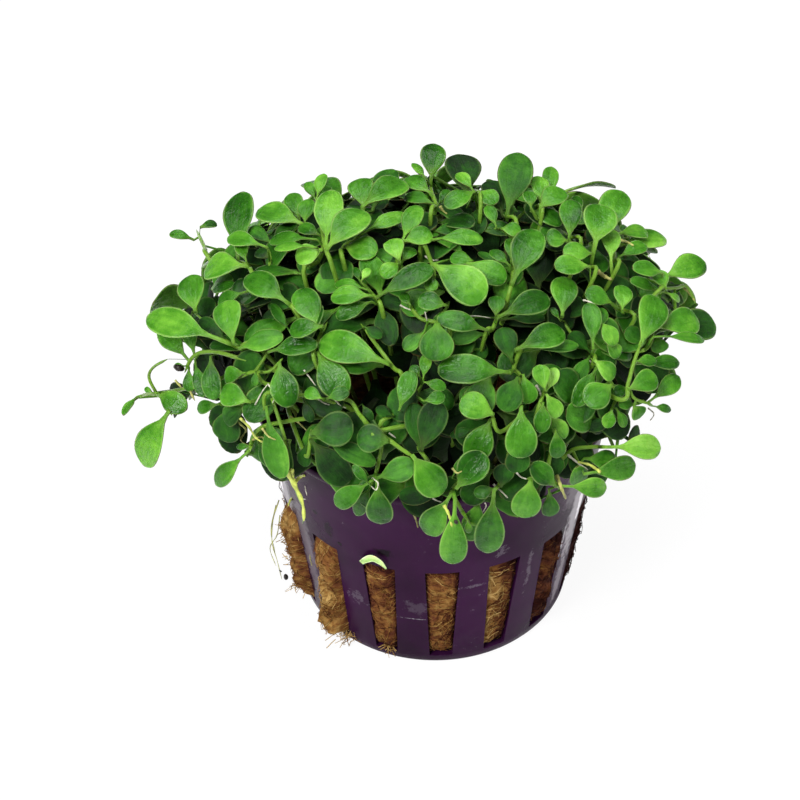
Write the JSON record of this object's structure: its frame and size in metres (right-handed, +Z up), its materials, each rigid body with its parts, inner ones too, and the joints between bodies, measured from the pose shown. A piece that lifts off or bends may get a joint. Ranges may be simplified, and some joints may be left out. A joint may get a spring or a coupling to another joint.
{
  "type": "potted aquarium plant",
  "caption": "Low carpet of small spoon-shaped leaves growing from a plug of mineral wool in a tapered, slotted purple net pot",
  "frame": {"origin": "centre of the underside of the pot", "axes": "+Z up along the axis of the pot, -Y towards the viewer of the picture, +X to their right"},
  "size_m": [0.0806, 0.0737, 0.0702],
  "materials": {
    "pot_plastic": "semi-gloss dark aubergine plastic with lime scuffs",
    "mineral_wool": "matt golden brown fibres",
    "leaf": "satin green leaf with a thin pale rim",
    "pale_leaf": "satin pale yellow-green"
  },
  "bodies": {
    "root": {"pot": "pot_plastic", "wool": "mineral_wool", "sprig_01": "leaf", "sprig_02": "leaf", "sprig_03": "leaf", "sprig_04": "leaf", "sprig_05": "leaf", "sprig_06": "leaf", "sprig_07": "leaf", "sprig_08": "leaf", "sprig_09": "leaf", "sprig_10": "leaf", "sprig_11": "leaf", "sprig_12": "leaf", "sprig_13": "leaf", "sprig_14": "leaf", "sprig_15": "leaf", "sprig_16": "leaf", "sprig_17": "leaf", "sprig_18": "leaf", "sprig_19": "leaf", "sprig_20": "leaf", "sprig_21": "leaf", "sprig_22": "leaf", "sprig_23": "leaf", "sprig_24": "leaf", "sprig_25": "leaf", "sprig_26": "leaf", "sprig_27": "leaf", "sprig_28": "leaf", "sprig_29": "leaf", "sprig_30": "leaf", "sprig_31": "leaf", "sprig_32": "leaf", "sprig_33": "leaf", "sprig_34": "leaf", "sprig_35": "leaf", "sprig_36": "leaf", "sprig_37": "leaf", "sprig_38": "leaf", "sprig_39": "leaf", "sprig_40": "leaf", "sprig_41": "leaf", "sprig_42": "leaf", "sprig_43": "leaf", "sprig_44": "leaf", "sprig_45": "leaf", "sprig_46": "leaf", "sprig_47": "leaf", "sprig_48": "leaf", "sprig_49": "leaf", "sprig_50": "leaf", "sprig_51": "leaf", "sprig_52": "leaf", "sprig_53": "leaf", "sprig_54": "leaf", "sprig_55": "leaf", "sprig_56": "leaf", "sprig_57": "leaf", "torn_leaf": "pale_leaf"}
  },
  "joints": []
}
